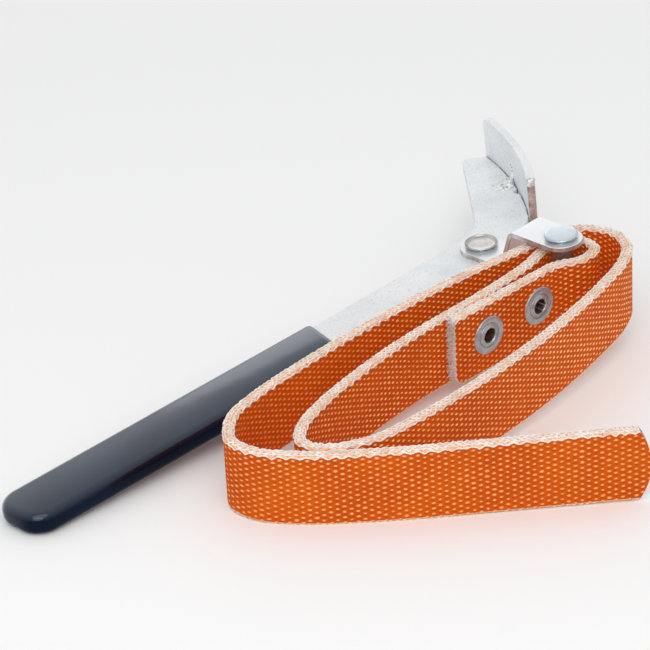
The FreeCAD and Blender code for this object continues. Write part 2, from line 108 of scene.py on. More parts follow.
def rounded_route(points):
    """Ends of the straight runs, and places a fraction of a millimetre apart on the arcs."""
    dots = [Vector(p) for p in points]
    places = [dots[0]]
    for before, corner, after in zip(dots, dots[1:], dots[2:]):
        back, ahead = before - corner, after - corner
        reach = BEND_SHARE * min(back.length, ahead.length)
        back.normalize()
        ahead.normalize()
        half = back.angle(ahead) / 2
        radius = reach * math.tan(half)
        centre = corner + (back + ahead).normalized() * (radius / math.sin(half))
        first, last = corner + back * reach - centre, corner + ahead * reach - centre
        turn = first.angle_signed(last)
        steps = max(FEWEST_STEPS, int(abs(turn) * radius / ARC_STEP))
        for k in range(steps + 1):
            angle = -turn * k / steps
            cosine, sine = math.cos(angle), math.sin(angle)
            places.append(centre + Vector((first.x * cosine - first.y * sine,
                                           first.x * sine + first.y * cosine)))
    places.append(dots[-1])
    return np.array([tuple(p) for p in places])


class Route:
    """The strap's middle line, with its place and its left-hand normal at any length along it."""

    SAMPLE = 0.25  # spacing of the stored places
    SOFTEN = 9  # places averaged where arcs and runs meet

    def __init__(self, points):
        raw = rounded_route(points)
        along = np.concatenate([[0], np.cumsum(np.linalg.norm(np.diff(raw, axis=0), axis=1))])
        self.length = along[-1]
        self.at = np.linspace(0, self.length, int(self.length / self.SAMPLE) + 1)
        line = np.stack([np.interp(self.at, along, raw[:, k]) for k in (0, 1)], axis=1)
        kernel = np.hanning(self.SOFTEN + 2)[1:-1]
        kernel /= kernel.sum()
        pad = self.SOFTEN // 2
        for k in (0, 1):
            padded = np.pad(line[:, k], pad, mode="reflect", reflect_type="odd")
            line[:, k] = np.convolve(padded, kernel, mode="valid")
        self.line = line
        heading = np.gradient(line, axis=0)
        heading /= np.linalg.norm(heading, axis=1)[:, None]
        self.normal = np.stack([-heading[:, 1], heading[:, 0]], axis=1)

    def places(self, along, across, height):
        """Points in the strap frame from lengths along, offsets to the left and heights."""
        stored = (*self.line.T, *self.normal.T)
        x, y, nx, ny = (np.interp(along, self.at, values) for values in stored)
        return np.stack([x + nx * across, y + ny * across, height + 0 * x], axis=-1)

    def nearest(self, point):
        """Length along the route where it passes a point."""
        return self.at[np.argmin(np.linalg.norm(self.line - np.array(point), axis=1))]


route = Route(LOOP_AND_COILS + (FLEX_POINT,) + FREE_RUN)
seam_at = round(route.nearest(LOOP_AND_COILS[SEAM_POINT - 1]) / (2 * COLUMN)) * 2 * COLUMN


# ------------------------------ mesh helpers

WELD_DISTANCE = 1e-7  # points of a turned solid closer than this are one point, in metres
CAD_WELD_DISTANCE = 2e-6  # the same for a CAD node's triangles
SHARP_TURNED = math.radians(50)
SHARP_PLATE = math.radians(40)
COPLANAR = math.radians(0.5)  # CAD triangles that turn less than this become one face
BEVEL_SEGMENTS = 3


def in_scene(name, data):
    """A new object with this data, in the scene."""
    piece = bpy.data.objects.new(name, data)
    bpy.context.collection.objects.link(piece)
    return piece


def add_mesh(name, points, faces, body, matrix=strap_frame):
    """An object from an array of points in millimetres in one of the two frames."""
    mesh = bpy.data.meshes.new(name)
    mesh.from_pydata(points.tolist(), [], faces)
    mesh.transform(matrix @ Matrix.Scale(MM, 4))
    mesh.shade_smooth()
    piece = in_scene(name, mesh)
    if body:
        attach(piece, body)
    return piece


def grid_faces(rows, columns, first=0):
    """Quads over a grid of points that is closed round its second direction."""
    i, j = np.meshgrid(np.arange(rows - 1), np.arange(columns), indexing="ij")
    after = (j + 1) % columns
    corners = [i * columns + j, i * columns + after, (i + 1) * columns + after,
               (i + 1) * columns + j]
    return (np.stack(corners, axis=-1).reshape(-1, 4) + first).tolist()


def end_faces(rows, columns, first=0):
    """The two faces that close the ends of such a grid."""
    last = first + (rows - 1) * columns
    return [list(range(first, first + columns))[::-1], list(range(last, last + columns))]


def turned(name, profile, matrix, body, sides=72, ragged=None):
    """A lathe-turned solid from a closed list of (radius, height) in millimetres.

    ragged is a radius and an amount: what stands up inside that radius is torn in and out by it.
    """
    ring = np.array(profile, float)
    angles = np.arange(sides) * 2 * math.pi / sides
    radii = np.tile(ring[:, 0], (sides, 1))
    heights = np.tile(ring[:, 1], (sides, 1))
    if ragged:
        limit, amount = ragged
        tear = rng.normal(0, amount, sides)
        tear = tear + 0.6 * np.roll(tear, 1)
        torn = (ring[:, 0] < limit) & (ring[:, 1] > 0)
        radii = radii + np.outer(tear, torn)
        heights = heights + np.outer(rng.normal(0, amount / 2, sides), torn)
    points = np.stack([np.cos(angles)[:, None] * radii, np.sin(angles)[:, None] * radii, heights],
                      axis=-1)
    count = len(profile)
    faces = []
    for i in range(sides):
        here, after = i * count, (i + 1) % sides * count
        for j in range(count):
            k = (j + 1) % count
            faces.append((here + j, after + j, after + k, here + k))
    piece = add_mesh(name, points.reshape(-1, 3), faces, body, matrix=matrix)
    clean = bmesh.new()
    clean.from_mesh(piece.data)
    bmesh.ops.remove_doubles(clean, verts=clean.verts, dist=WELD_DISTANCE)
    bmesh.ops.dissolve_degenerate(clean, edges=clean.edges, dist=WELD_DISTANCE)
    bmesh.ops.recalc_face_normals(clean, faces=clean.faces)
    clean.to_mesh(piece.data)
    clean.free()
    piece.data.set_sharp_from_angle(angle=SHARP_TURNED)
    return piece


def softened(name, node, body, slot, width, *materials):
    """A copy of a CAD node with its sharp edges broken."""
    mesh = frame["nodes"][node].data.copy()
    mesh.name = name
    if "custom_normal" in mesh.attributes:
        mesh.attributes.remove(mesh.attributes["custom_normal"])
    clean = bmesh.new()
    clean.from_mesh(mesh)
    bmesh.ops.remove_doubles(clean, verts=clean.verts, dist=CAD_WELD_DISTANCE)
    bmesh.ops.dissolve_limit(clean, angle_limit=COPLANAR, verts=clean.verts, edges=clean.edges)
    clean.to_mesh(mesh)
    clean.free()
    piece = in_scene(name, mesh)
    bevel = piece.modifiers.new("broken_edges", "BEVEL")
    bevel.width = width * MM
    bevel.segments = BEVEL_SEGMENTS
    bevel.limit_method = "ANGLE"
    bevel.angle_limit = SHARP_PLATE
    bevel.harden_normals = True
    mesh.shade_smooth()
    mesh.set_sharp_from_angle(angle=SHARP_PLATE)
    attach(piece, body)
    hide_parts(node)
    set_material(piece, *materials)
    return piece


def set_material(piece, *materials):
    """Give a piece these materials alone; face indices pick among them."""
    piece.data.materials.clear()
    for material in materials:
        piece.data.materials.append(material)


# ------------------------------ materials

class Shader:
    """A material and the short-hand that builds its nodes."""

    def __init__(self, name, colour, roughness, metallic=0):
        self.material = bpy.data.materials.new(name)
        self.material.use_nodes = True
        self.tree = self.material.node_tree
        self.surface = self.tree.nodes["Principled BSDF"]
        self.set("Base Color", (*colour, 1))
        self.set("Roughness", roughness)
        self.set("Metallic", metallic)
        self.material.diffuse_color = (*colour, 1)

    def feed(self, socket, value):
        """Link an input, or give it a value."""
        if isinstance(value, bpy.types.NodeSocket):
            self.tree.links.new(value, socket)
        else:
            socket.default_value = value

    def set(self, socket, value):
        self.feed(self.surface.inputs[socket], value)

    def node(self, kind, inputs=None, **settings):
        made = self.tree.nodes.new("ShaderNode" + kind)
        for key, value in settings.items():
            setattr(made, key, value)
        for socket, value in (inputs or {}).items():
            self.feed(made.inputs[socket], value)
        return made

    def math(self, operation, first, second=0, third=0):
        return self.node("Math", {0: first, 1: second, 2: third}, operation=operation).outputs[0]

    def position(self):
        return self.node("NewGeometry").outputs["Position"]

    def between(self, value, low, high, to_low=0, to_high=1, **settings):
        """A value brought from one range to another, and kept inside it."""
        made = self.node("MapRange", {0: value, 1: low, 2: high, 3: to_low, 4: to_high}, **settings)
        return made.outputs[0]

    def noise(self, scale, detail=3, roughness=0.55):
        """Grey noise of about one feature per 1/scale metres, in the object's own space."""
        inputs = {"Scale": scale, "Detail": detail, "Roughness": roughness}
        inputs["Vector"] = self.node("TexCoord").outputs["Object"]
        return self.node("TexNoise", inputs).outputs["Fac"]

    def ramp(self, value, stops):
        """A colour ramp from (place, colour) stops."""
        ramp = self.node("ValToRGB", {"Fac": value})
        elements = ramp.color_ramp.elements
        while len(elements) < len(stops):
            elements.new(0.5)
        for element, (place, colour) in zip(elements, stops):
            element.position = place
            element.color = (*colour, 1)
        return ramp.outputs["Color"]

    def tint(self, value, *stops):
        """A colour ramp on the surface's colour."""
        self.set("Base Color", self.ramp(value, stops))

    def mix(self, share, first, second, blend="MIX"):
        """Two colours mixed; the node's colour inputs are 6 and 7, and its colour output is 2."""
        inputs = {0: share}
        for index, colour in ((6, first), (7, second)):
            linked = isinstance(colour, bpy.types.NodeSocket)
            inputs[index] = colour if linked else (*colour, 1)
        return self.node("Mix", inputs, data_type="RGBA", blend_type=blend).outputs[2]

    def bump(self, height, depth, under=None):
        """Relief from a grey height, depth in millimetres, over the relief given as under."""
        inputs = {"Height": height, "Distance": depth * MM}
        if under:
            inputs["Normal"] = under
        normal = self.node("Bump", inputs).outputs["Normal"]
        self.set("Normal", normal)
        return normal


ORANGE = (0.53, 0.078, 0.0006)
ORANGE_DARK = (0.47, 0.062, 0.0005)
ORANGE_LIGHT = (0.59, 0.098, 0.001)
DOT_DULL = (0.93, 0.33, 0.07)
DOT_BRIGHT = (1, 0.74, 0.42)
CREAM = (0.86, 0.81, 0.77)
PEACH = (0.90, 0.46, 0.21)

DOT_HALF_LENGTH = 0.78  # millimetres along the strap
DOT_HALF_HEIGHT = 0.50  # millimetres across it
DOT_LEAN = 0.10  # how far a dot's top leans along the strap, for each millimetre of height
DOT_WANDER = 0.34  # how far noise moves the dots, in columns and rows
COAT_CHANGE = 24.0  # columns over which the free end's thicker coat sets in
PAINTED_GLOW = 0.20  # painted glow: orange emission that lifts the webbing's faces, standing in for fill light


def weave_cells(s, uv):
    """The moved place in columns and rows, its dot's cell, and millimetres from the dot."""
    wobble = s.node("TexNoise", {"Vector": uv, "Scale": 0.9, "Detail": 2}).outputs["Color"]
    shifted = s.node("VectorMath", {0: wobble, 1: (0.5, 0.5, 0.5)}, operation="SUBTRACT").outputs[0]
    scaled = s.node("VectorMath", {0: shifted, 1: (DOT_WANDER, DOT_WANDER, 0)},
                    operation="MULTIPLY").outputs[0]
    placed = s.node("VectorMath", {0: uv, 1: scaled}, operation="ADD").outputs[0]
    parts = s.node("SeparateXYZ", {"Vector": placed}).outputs
    column = s.math("ROUND", parts["X"])
    along = s.math("MULTIPLY", s.math("SUBTRACT", parts["X"], column), COLUMN)
    odd = s.math("PINGPONG", column, 1)
    level = s.math("MULTIPLY_ADD", odd, -0.5, parts["Y"])
    row = s.math("ROUND", level)
    across = s.math("MULTIPLY", s.math("SUBTRACT", level, row), ROW)
    cell = s.node("CombineXYZ", {"X": column, "Y": s.math("MULTIPLY_ADD", odd, 0.5, row)})
    return parts, cell.outputs[0], along, across


def webbing_face():
    """Coated weave: staggered pale dots where the yarn stands through the orange coat."""
    s = Shader("webbing_face", ORANGE, 0.66)
    uv = s.node("UVMap", uv_map="Weave").outputs["UV"]
    parts, cell, along, across = weave_cells(s, uv)
    leaned = s.math("MULTIPLY_ADD", across, -DOT_LEAN, along)
    chance = s.node("TexWhiteNoise", {"Vector": cell}, noise_dimensions="2D").outputs["Value"]
    wide = s.math("DIVIDE", leaned, DOT_HALF_LENGTH)
    tall = s.math("DIVIDE", across, DOT_HALF_HEIGHT)
    squares = s.math("ADD", s.math("MULTIPLY", wide, wide), s.math("MULTIPLY", tall, tall))
    reach = s.math("MULTIPLY", s.math("SQRT", squares), s.math("MULTIPLY_ADD", chance, 0.35, 0.80))
    dot = s.between(reach, 1.08, 0.72, interpolation_type="SMOOTHSTEP")
    core = s.between(reach, 0.95, 0.25, interpolation_type="SMOOTHSTEP")
    spots = {"Vector": uv, "Scale": 0.10, "Detail": 3, "Roughness": 0.6}
    coat = s.node("TexNoise", spots).outputs["Fac"]
    patchy = s.between(coat, 0.36, 0.56, 0.60, 1)
    seam_column = seam_at / COLUMN
    pulled = s.between(parts["X"], seam_column - COAT_CHANGE, seam_column, 1, 0.55)
    bare = s.math("MULTIPLY", patchy, pulled)
    base = s.ramp(s.noise(45, 4), [(0.30, ORANGE_DARK), (0.5, ORANGE), (0.74, ORANGE_LIGHT)])
    waves = s.math("MULTIPLY", s.math("COSINE", s.math("MULTIPLY", parts["X"], math.pi)),
                   s.math("COSINE", s.math("MULTIPLY", parts["Y"], 2 * math.pi)))
    # painted shade: the orange darkens where the weave sinks between the dots
    valley = s.between(waves, -0.9, 0.3, 0.78, 1.03)
    shaded = s.mix(1, base, valley, blend="MULTIPLY")
    yarn = s.mix(s.math("MULTIPLY", core, bare), DOT_DULL, DOT_BRIGHT)
    shown = s.math("MULTIPLY", dot, s.between(bare, 0, 1, 0.45, 1))
    s.set("Base Color", s.mix(shown, shaded, yarn))
    s.set("Roughness", s.math("MULTIPLY_ADD", coat, 0.25, 0.52))
    grain = s.noise(2600, 2)
    s.bump(s.math("MULTIPLY_ADD", waves, 0.8, s.math("MULTIPLY", grain, 0.35)), 0.16)
    # painted glow: the webbing shines its own orange, brightening faces that the lamps light less
    s.set("Emission Color", (*ORANGE, 1))
    s.set("Emission Strength", PAINTED_GLOW)
    s.set("Specular IOR Level", 0.14)
    return s.material


def webbing_edge():
    """The woven edge under the stitches: peach yarn with lengthwise streaks."""
    s = Shader("webbing_edge", PEACH, 0.8)
    uv = s.node("UVMap", uv_map="Weave").outputs["UV"]
    streaks = s.node("TexNoise", {"Vector": uv, "Scale": 3, "Detail": 4}).outputs["Fac"]
    s.tint(streaks, (0.28, ORANGE_LIGHT), (0.46, PEACH), (0.72, (0.94, 0.66, 0.42)))
    s.bump(streaks, 0.2)
    return s.material


PLATE_HALF = 2.5  # half the bar's thickness
JAW_CENTRE = Vector((-78.4, 104.4, 0))  # of the jaw's curve, in the tool frame
JAW_RADIUS = 150.0  # inner radius of the jaw
SEAM_SHADE = (0.10, 0.11, 0.12)  # colour of the painted shade line in the seam between plate and jaw
SEAM_SHADE_START = 0.75  # the line begins this far in front of the jaw
SEAM_SHADE_FULL = 0.4  # and is fully dark from here on
SEAM_SHADE_END = 0.2  # it is gone this far inside the jaw


def plain_zinc(s):
    """Colour of dull zinc on rolled steel: cloudy, faintly grained, with a few dark specks."""
    clouds = s.noise(70, 5)
    flecks = s.noise(900, 3, roughness=0.7)
    pits = s.node("TexVoronoi", {"Scale": 260}).outputs["Distance"]
    tone = s.ramp(clouds, [(0.30, (0.74, 0.775, 0.795)), (0.5, (0.82, 0.85, 0.87)),
                           (0.72, (0.88, 0.90, 0.915))])
    speck = s.between(flecks, 0.60, 0.72, 1, 0.62)
    fine = s.between(s.noise(1900, 2), 0.3, 0.7, 0.90, 1.08)
    worn = s.mix(1, s.mix(1, tone, speck, blend="MULTIPLY"), fine, blend="MULTIPLY")
    s.set("Roughness", s.math("MULTIPLY_ADD", flecks, 0.35, 0.32))
    s.bump(s.math("ADD", s.math("MULTIPLY", flecks, 0.7), s.math("MULTIPLY", pits, 0.3)), 0.05)
    return worn


def jaw_zinc():
    """The same zinc, clean."""
    s = Shader("jaw_zinc", (0.78, 0.81, 0.825), 0.5, 0.25)
    s.set("Base Color", plain_zinc(s))
    return s.material


def bar_zinc():
    """The plate's zinc, with a broken line of painted shade along the seam where the jaw stands on
    it.
    """
    s = Shader("bar_zinc", (0.78, 0.81, 0.825), 0.5, 0.25)
    worn = plain_zinc(s)
    axis = tuple(tool_frame @ ((JAW_CENTRE + Vector((0, 0, PLATE_HALF))) * MM))
    reach = s.node("VectorMath", {0: s.position(), 1: axis}, operation="DISTANCE").outputs["Value"]
    seam = s.between(reach, (JAW_RADIUS - SEAM_SHADE_START) * MM, (JAW_RADIUS - SEAM_SHADE_FULL) * MM)
    ahead = s.between(reach, (JAW_RADIUS + SEAM_SHADE_END) * MM, JAW_RADIUS * MM)
    dashes = s.between(s.noise(420, 2), 0.42, 0.50)
    painted_shade = s.math("MULTIPLY", s.math("MULTIPLY", seam, ahead), s.math("MULTIPLY", dashes, 0.85))
    # painted shade: the seam's dark line is mixed over the zinc's colour
    s.set("Base Color", s.mix(painted_shade, worn, SEAM_SHADE))
    return s.material


GRIP_HALF = 13.4  # half the grip's width
GRIP_CROWN = 0.9  # how far the shading treats the grip's faces as crowned, in millimetres


def dipped_vinyl():
    """Blue-black vinyl dip: glossy, slightly uneven, with a painted sheen that lightens it on the
    side away from the strap.
    """
    s = Shader("dipped_vinyl", (0.005, 0.007, 0.011), 0.26)
    flow = s.noise(26, 2)
    fine = s.noise(420, 3)
    side = s.node("SeparateXYZ", {"Vector": s.position()}).outputs["Y"]
    beside = s.math("DIVIDE", s.math("SUBTRACT", side, tool_frame.translation.y), GRIP_HALF * MM)
    deep = s.ramp(flow, [(0.35, (0.002, 0.005, 0.014)), (0.65, (0.003, 0.010, 0.030))])
    grey = s.ramp(flow, [(0.35, (0.050, 0.058, 0.082)), (0.65, (0.070, 0.079, 0.106))])
    # painted sheen: the colour turns from deep blue to a lighter blue-grey across the grip, away
    # from the strap
    s.set("Base Color", s.mix(s.between(beside, -0.6, 0.9), deep, grey))
    s.set("Roughness", s.math("MULTIPLY_ADD", fine, 0.08, 0.09))
    s.set("Specular Tint", (0.80, 0.88, 1, 1))
    normal = s.node("NewGeometry").outputs["Normal"]
    facing = s.node("SeparateXYZ", {"Vector": normal}).outputs["Z"]
    s.set("Specular IOR Level", s.between(facing, 0.25, 0.98, 0.08, 1))
    crowned = s.bump(s.math("MULTIPLY", beside, beside), -GRIP_CROWN)
    height = s.math("ADD", s.math("MULTIPLY", flow, 1), s.math("MULTIPLY", fine, 0.05))
    s.bump(height, 0.25, under=crowned)
    return s.material


def clouded(name, colour, roughness, metallic, clouds, stops, grain=None, depth=0, shine=None,
            sheen=0):
    """A material whose colour follows one noise, and whose relief and roughness follow the grain.

    clouds and grain are a scale and a detail; without a grain the clouds serve for both.
    """
    s = Shader(name, colour, roughness, metallic)
    tone = s.noise(*clouds)
    s.tint(tone, *stops)
    fine = s.noise(*grain) if grain else tone
    if depth:
        s.bump(fine, depth)
    if shine:
        s.set("Roughness", s.math("MULTIPLY_ADD", fine, *shine))
    s.set("Sheen Weight", sheen)
    return s.material


def rivet_zinc(name, dull, clean):
    """Passivated zinc on rivets and washers, with cloudy tarnish and handling wear."""
    return clouded(name, clean, 0.3, 0.85, (110, 4), ((0.32, dull), (0.55, clean)),
                   grain=(500, 3), depth=0.008, shine=(0.20, 0.12))


face_stuff, edge_stuff = webbing_face(), webbing_edge()
bar_stuff, jaw_stuff, vinyl_stuff = bar_zinc(), jaw_zinc(), dipped_vinyl()
# Yarn ends on the cut: whitish with a little orange pink between.
cut_stuff = clouded(
    "webbing_cut", (0.8, 0.6, 0.52), 0.9, 0, (1500, 3),
    ((0.34, (0.78, 0.52, 0.42)), (0.46, (0.90, 0.78, 0.72)), (0.62, (0.96, 0.93, 0.91))),
    depth=0.25)
# Off-white sewing thread, with its ply.
thread_stuff = clouded(
    "stitch_thread", CREAM, 0.7, 0, (240, 3),
    ((0.34, (0.80, 0.64, 0.54)), (0.48, CREAM), (0.68, (0.93, 0.915, 0.90))),
    grain=(3200, 2), depth=0.08, sheen=0.2)
# Loose ends of yarn, paler towards white here and there.
fray_stuff = clouded(
    "frayed_yarn", (0.86, 0.70, 0.63), 0.8, 0, (900, 2),
    ((0.33, (0.86, 0.70, 0.62)), (0.50, (0.97, 0.94, 0.92))), sheen=0.2)
# The jaw's cropped end, browned where the plating is thin.
sheared_stuff = clouded(
    "sheared_steel", (0.42, 0.32, 0.28), 0.55, 0.5, (420, 4),
    ((0.3, (0.30, 0.21, 0.18)), (0.5, (0.52, 0.41, 0.37)), (0.72, (0.74, 0.70, 0.67))), depth=0.1)
# Bright zinc on the cranked links.
link_stuff = clouded(
    "bright_zinc", (0.90, 0.91, 0.93), 0.3, 0.5, (60, 2),
    ((0.3, (0.82, 0.83, 0.86)), (0.6, (0.88, 0.885, 0.905))),
    grain=(1400, 2), depth=0.008, shine=(0.16, 0.24))
# Sheared edges of the links, with a brownish tone painted in as the orange strap's reflection.
link_edge_stuff = clouded(
    "sheared_zinc", (0.62, 0.42, 0.33), 0.38, 0.7, (130, 3),
    ((0.36, (0.36, 0.27, 0.24)), (0.52, (0.60, 0.54, 0.51)), (0.68, (0.80, 0.79, 0.79))),
    grain=(900, 2), depth=0.03)
pin_stuff = rivet_zinc("pin_zinc", (0.54, 0.62, 0.67), (0.64, 0.71, 0.76))
# painted reflection: the pivot's zinc is tinted brownish
pivot_stuff = rivet_zinc("pivot_zinc", (0.42, 0.38, 0.34), (0.62, 0.60, 0.58))
washer_and_rim_shade = rivet_zinc("washer_zinc", (0.22, 0.29, 0.32), (0.42, 0.51, 0.55))
# Dulled nickel of the eyelets, with soft handling marks.
nickel_stuff = clouded(
    "nickel", (0.80, 0.80, 0.82), 0.18, 0.45, (220, 2),
    ((0.3, (0.38, 0.47, 0.52)), (0.65, (0.52, 0.61, 0.66))), depth=0.004, shine=(0.16, 0.18))
# Inside of the eyelets' barrels: painted shade, dark brown in place of the nickel.
bore_shade_stuff = clouded(
    "eyelet_bore", (0.10, 0.05, 0.03), 0.6, 0.4, (600, 3),
    ((0.35, (0.045, 0.020, 0.012)), (0.65, (0.17, 0.085, 0.05))), depth=0.05)
# Zinc over weld metal: bright crust with dark pores.
weld_stuff = clouded(
    "weld_zinc", (0.80, 0.82, 0.83), 0.45, 0.5, (1100, 4),
    ((0.36, (0.30, 0.29, 0.28)), (0.44, (0.76, 0.78, 0.79)), (0.65, (0.95, 0.955, 0.96))),
    depth=0.12)


# ------------------------------ strap

START_CORNERS = (6.0, 1.6)  # bottom and top corner radii of the riveted end
END_RADIUS = 27.0  # the free end is cut on an arc
END_REACH = 14.0  # stretch over which the cut's shape fades out
CUT_WAVE = 0.25  # how far the riveted end's cut waves


def corner_setback(distance, radius):
    """How far a rounded corner steps back, at a distance from its side."""
    inside = np.clip(radius - distance, 0, radius)
    return radius - np.sqrt(radius ** 2 - inside ** 2)


def trimmed(along, height):
    """Lengths along the strap, with both ends drawn in to the shape they are cut to."""
    low, high = START_CORNERS
    start = corner_setback(height, low) + corner_setback(STRAP_WIDTH - height, high)
    start = start + CUT_WAVE * np.sin(height * 1.9) * np.sin(height * 0.7 + 1)
    off_centre = np.clip(np.abs(height - STRAP_WIDTH / 2), 0, STRAP_WIDTH / 2)
    end = END_RADIUS - np.sqrt(END_RADIUS ** 2 - off_centre ** 2)
    from_start = np.clip(1 - along / END_REACH, 0, 1)
    from_end = np.clip(1 - (route.length - along) / END_REACH, 0, 1)
    return along + start * from_start - end * from_end


def section():
    """The webbing's outline across: (offset, height, on a face) anticlockwise from below."""
    half = STRAP_THICKNESS / 2
    flat = half - EDGE_ROUND
    rise = np.linspace(EDGE_ROUND, STRAP_WIDTH - EDGE_ROUND, int(ROWS * STEPS_PER_ROW) + 1)

    def corner(side, level, up, shares):
        turns = [share * math.pi / 2 for share in shares]
        return [(side * (flat + EDGE_ROUND * math.cos(turn)),
                 level + up * EDGE_ROUND * math.sin(turn), 0) for turn in turns]

    ring = []
    for side, levels, edge in ((1, rise, STRAP_WIDTH), (-1, rise[::-1], 0)):
        ring += [(side * half, level, 1) for level in levels]
        ring += corner(side, levels[-1], side, (0.33, 0.67))
        ring += [(side * flat * share, edge, 0) for share in (1, 0.33, -0.33, -1)]
        ring += corner(-side, levels[-1], side, (0.67, 0.33))
    return np.array(ring)


EYELETS = (
    # along the strap, above its lower edge, and the plane of the washer behind the webbing
    (-22.0, 16.4, -38.9),
    (-51.0, 15.7, -42.6),
)
EYELET_FACE = LOOP_AND_COILS[0][1] - STRAP_THICKNESS / 2  # the riveted end's outer face
PUNCH_RADIUS = 5.4  # of the holes through the webbing, hidden under the flanges
PUNCH_MARGIN = 0.6  # the holes reach this far past the layers' outer faces


def punched(centres):
    """Which places lie in the holes that the eyelets go through."""
    inside = np.zeros(len(centres), bool)
    for x, level, back in EYELETS:
        near = np.hypot(centres[:, 0] - x, centres[:, 2] - level) < PUNCH_RADIUS
        depth = (centres[:, 1] > EYELET_FACE - PUNCH_MARGIN) & (centres[:, 1] < back + PUNCH_MARGIN)
        inside |= near & depth
    return inside


def webbing(name, body, start, end):
    """A stretch of the strap with its yarns standing in relief."""
    stations = np.arange(round(start / COLUMN * STEPS_PER_COLUMN),
                         round(end / COLUMN * STEPS_PER_COLUMN) + 1) * COLUMN / STEPS_PER_COLUMN
    stations = np.clip(stations, 0, route.length)
    ring = section()
    nominal = np.repeat(stations[:, None], len(ring), axis=1)
    offset = np.broadcast_to(ring[:, 0], nominal.shape)
    height = np.broadcast_to(ring[:, 1], nominal.shape)
    along = trimmed(nominal, height)
    u, v = along / COLUMN, (height - EDGE_ROUND) / ROW
    weave = np.cos(math.pi * u) * np.cos(2 * math.pi * v)
    relief = YARN_RISE * np.clip(weave, -YARN_DIP, 1) * ring[:, 2]
    points = route.places(along, offset + np.sign(offset) * relief, height)
    rows, columns = nominal.shape
    quads = np.array(grid_faces(rows, columns))
    solid = ~punched(points.reshape(-1, 3)[quads].mean(axis=1))
    faces = quads[solid].tolist() + end_faces(rows, columns)
    piece = add_mesh(name, points.reshape(-1, 3), faces, body)
    mesh = piece.data
    set_material(piece, face_stuff, edge_stuff, cut_stuff)
    on_face = (ring[:, 2] > 0) & (np.roll(ring[:, 2], -1) > 0)
    kinds = np.tile(np.where(on_face, 0, 1), rows - 1)[solid]
    mesh.polygons.foreach_set("material_index", np.concatenate([kinds, [2, 2]]).astype(np.int32))
    layer = mesh.uv_layers.new(name="Weave")
    corners = np.zeros(len(mesh.loops), np.int32)
    mesh.loops.foreach_get("vertex_index", corners)
    flat = np.stack([u.reshape(-1), v.reshape(-1)], axis=1)[corners]
    layer.data.foreach_set("uv", flat.astype(np.float32).reshape(-1))
    return piece


EDGE_DROP = 3.0  # how far down the faces the unrolled top edge reaches
EDGE_STEPS = 6  # on each of its corners


def edge_path():
    """The top edge's outline unrolled from near face to far face: distances and places."""
    half, top = STRAP_THICKNESS / 2, STRAP_WIDTH - EDGE_ROUND
    line = [(half, top - EDGE_DROP)]
    for k in range(EDGE_STEPS + 1):
        angle = k / EDGE_STEPS * math.pi / 2
        line.append((half - EDGE_ROUND + EDGE_ROUND * math.cos(angle),
                     top + EDGE_ROUND * math.sin(angle)))
    line += [(-x, z) for x, z in line[::-1]]
    line = np.array(line)
    run = np.concatenate([[0], np.cumsum(np.linalg.norm(np.diff(line, axis=0), axis=1))])
    return run - run[-1] / 2, line


EDGE_RUN, EDGE_LINE = edge_path()
STITCH = COLUMN  # length of one stitch
THREAD_SIDES = 6


def edge_place(across, lift):
    """Offset and height of a place on the top edge, raised above the surface by lift."""
    step = 0.05
    x, z = (np.interp(across, EDGE_RUN, line) for line in EDGE_LINE.T)
    next_x, next_z = (np.interp(across + step, EDGE_RUN, line) for line in EDGE_LINE.T)
    dx, dz = next_x - x, next_z - z
    length = np.hypot(dx, dz)
    return x + dz / length * lift, z - dx / length * lift


def tubes(lines, radius, sides):
    """Round tubes along rows of points; all rows have the same number of points."""
    all_points, all_faces, first = [], [], 0
    angles = np.arange(sides) * 2 * math.pi / sides
    for line in lines:
        heading = np.gradient(line, axis=0)
        heading /= np.linalg.norm(heading, axis=1)[:, None]
        side = np.cross(heading, (0.0, 0.0, 1.0))
        side /= np.maximum(np.linalg.norm(side, axis=1)[:, None], 1e-9)
        over = np.cross(side, heading)
        around = side[:, None] * np.cos(angles)[:, None] + over[:, None] * np.sin(angles)[:, None]
        all_points.append((line[:, None] + radius * around).reshape(-1, 3))
        all_faces += grid_faces(len(line), sides, first) + end_faces(len(line), sides, first)
        first += len(line) * sides
    return np.concatenate(all_points), all_faces


ROPES = (
    # middle of the rope across the edge, hand of its twist, swing to each side, stitches to a wave,
    # waves that it starts later
    (-2.35, 1, 0.42, 2, 0.0),
    (-1.20, -1, 0.34, 1, 0.5),
    (0.00, 1, 0.34, 1, 0.0),
    (1.20, -1, 0.34, 1, 0.5),
    (2.35, 1, 0.42, 2, 0.25),
)
ZIGZAG = 0.96  # 1 gives sharp corners, and less rounds them
ROPE_LIFT = 0.08  # a rope's middle above the webbing
PLY_TURN = 0.19  # a ply's middle from its rope's middle
PLY_RADIUS = 0.22
UNSEEN = 2.0  # ropes further out than this are left off the lower edge, whose faces stay plain
STEPS_PER_STITCH = 6
SHIFT_LENGTH = 3  # stitches over which a rope's sideways pull changes
SWING_VARIES = 0.5  # as a share of the swing
DRIFT_VARIES = 0.10  # millimetres
TURN_VARIES = 0.06  # stitches
SLIP_VARIES = 0.25  # half turns of the ply
PLY_VARIES = 0.04  # millimetres


def uneven(count, size, length):
    """Smooth random values, new every length steps."""
    knots = rng.normal(0, size, count // length + 3)
    return np.interp(np.arange(count) / length, np.arange(len(knots)), knots)


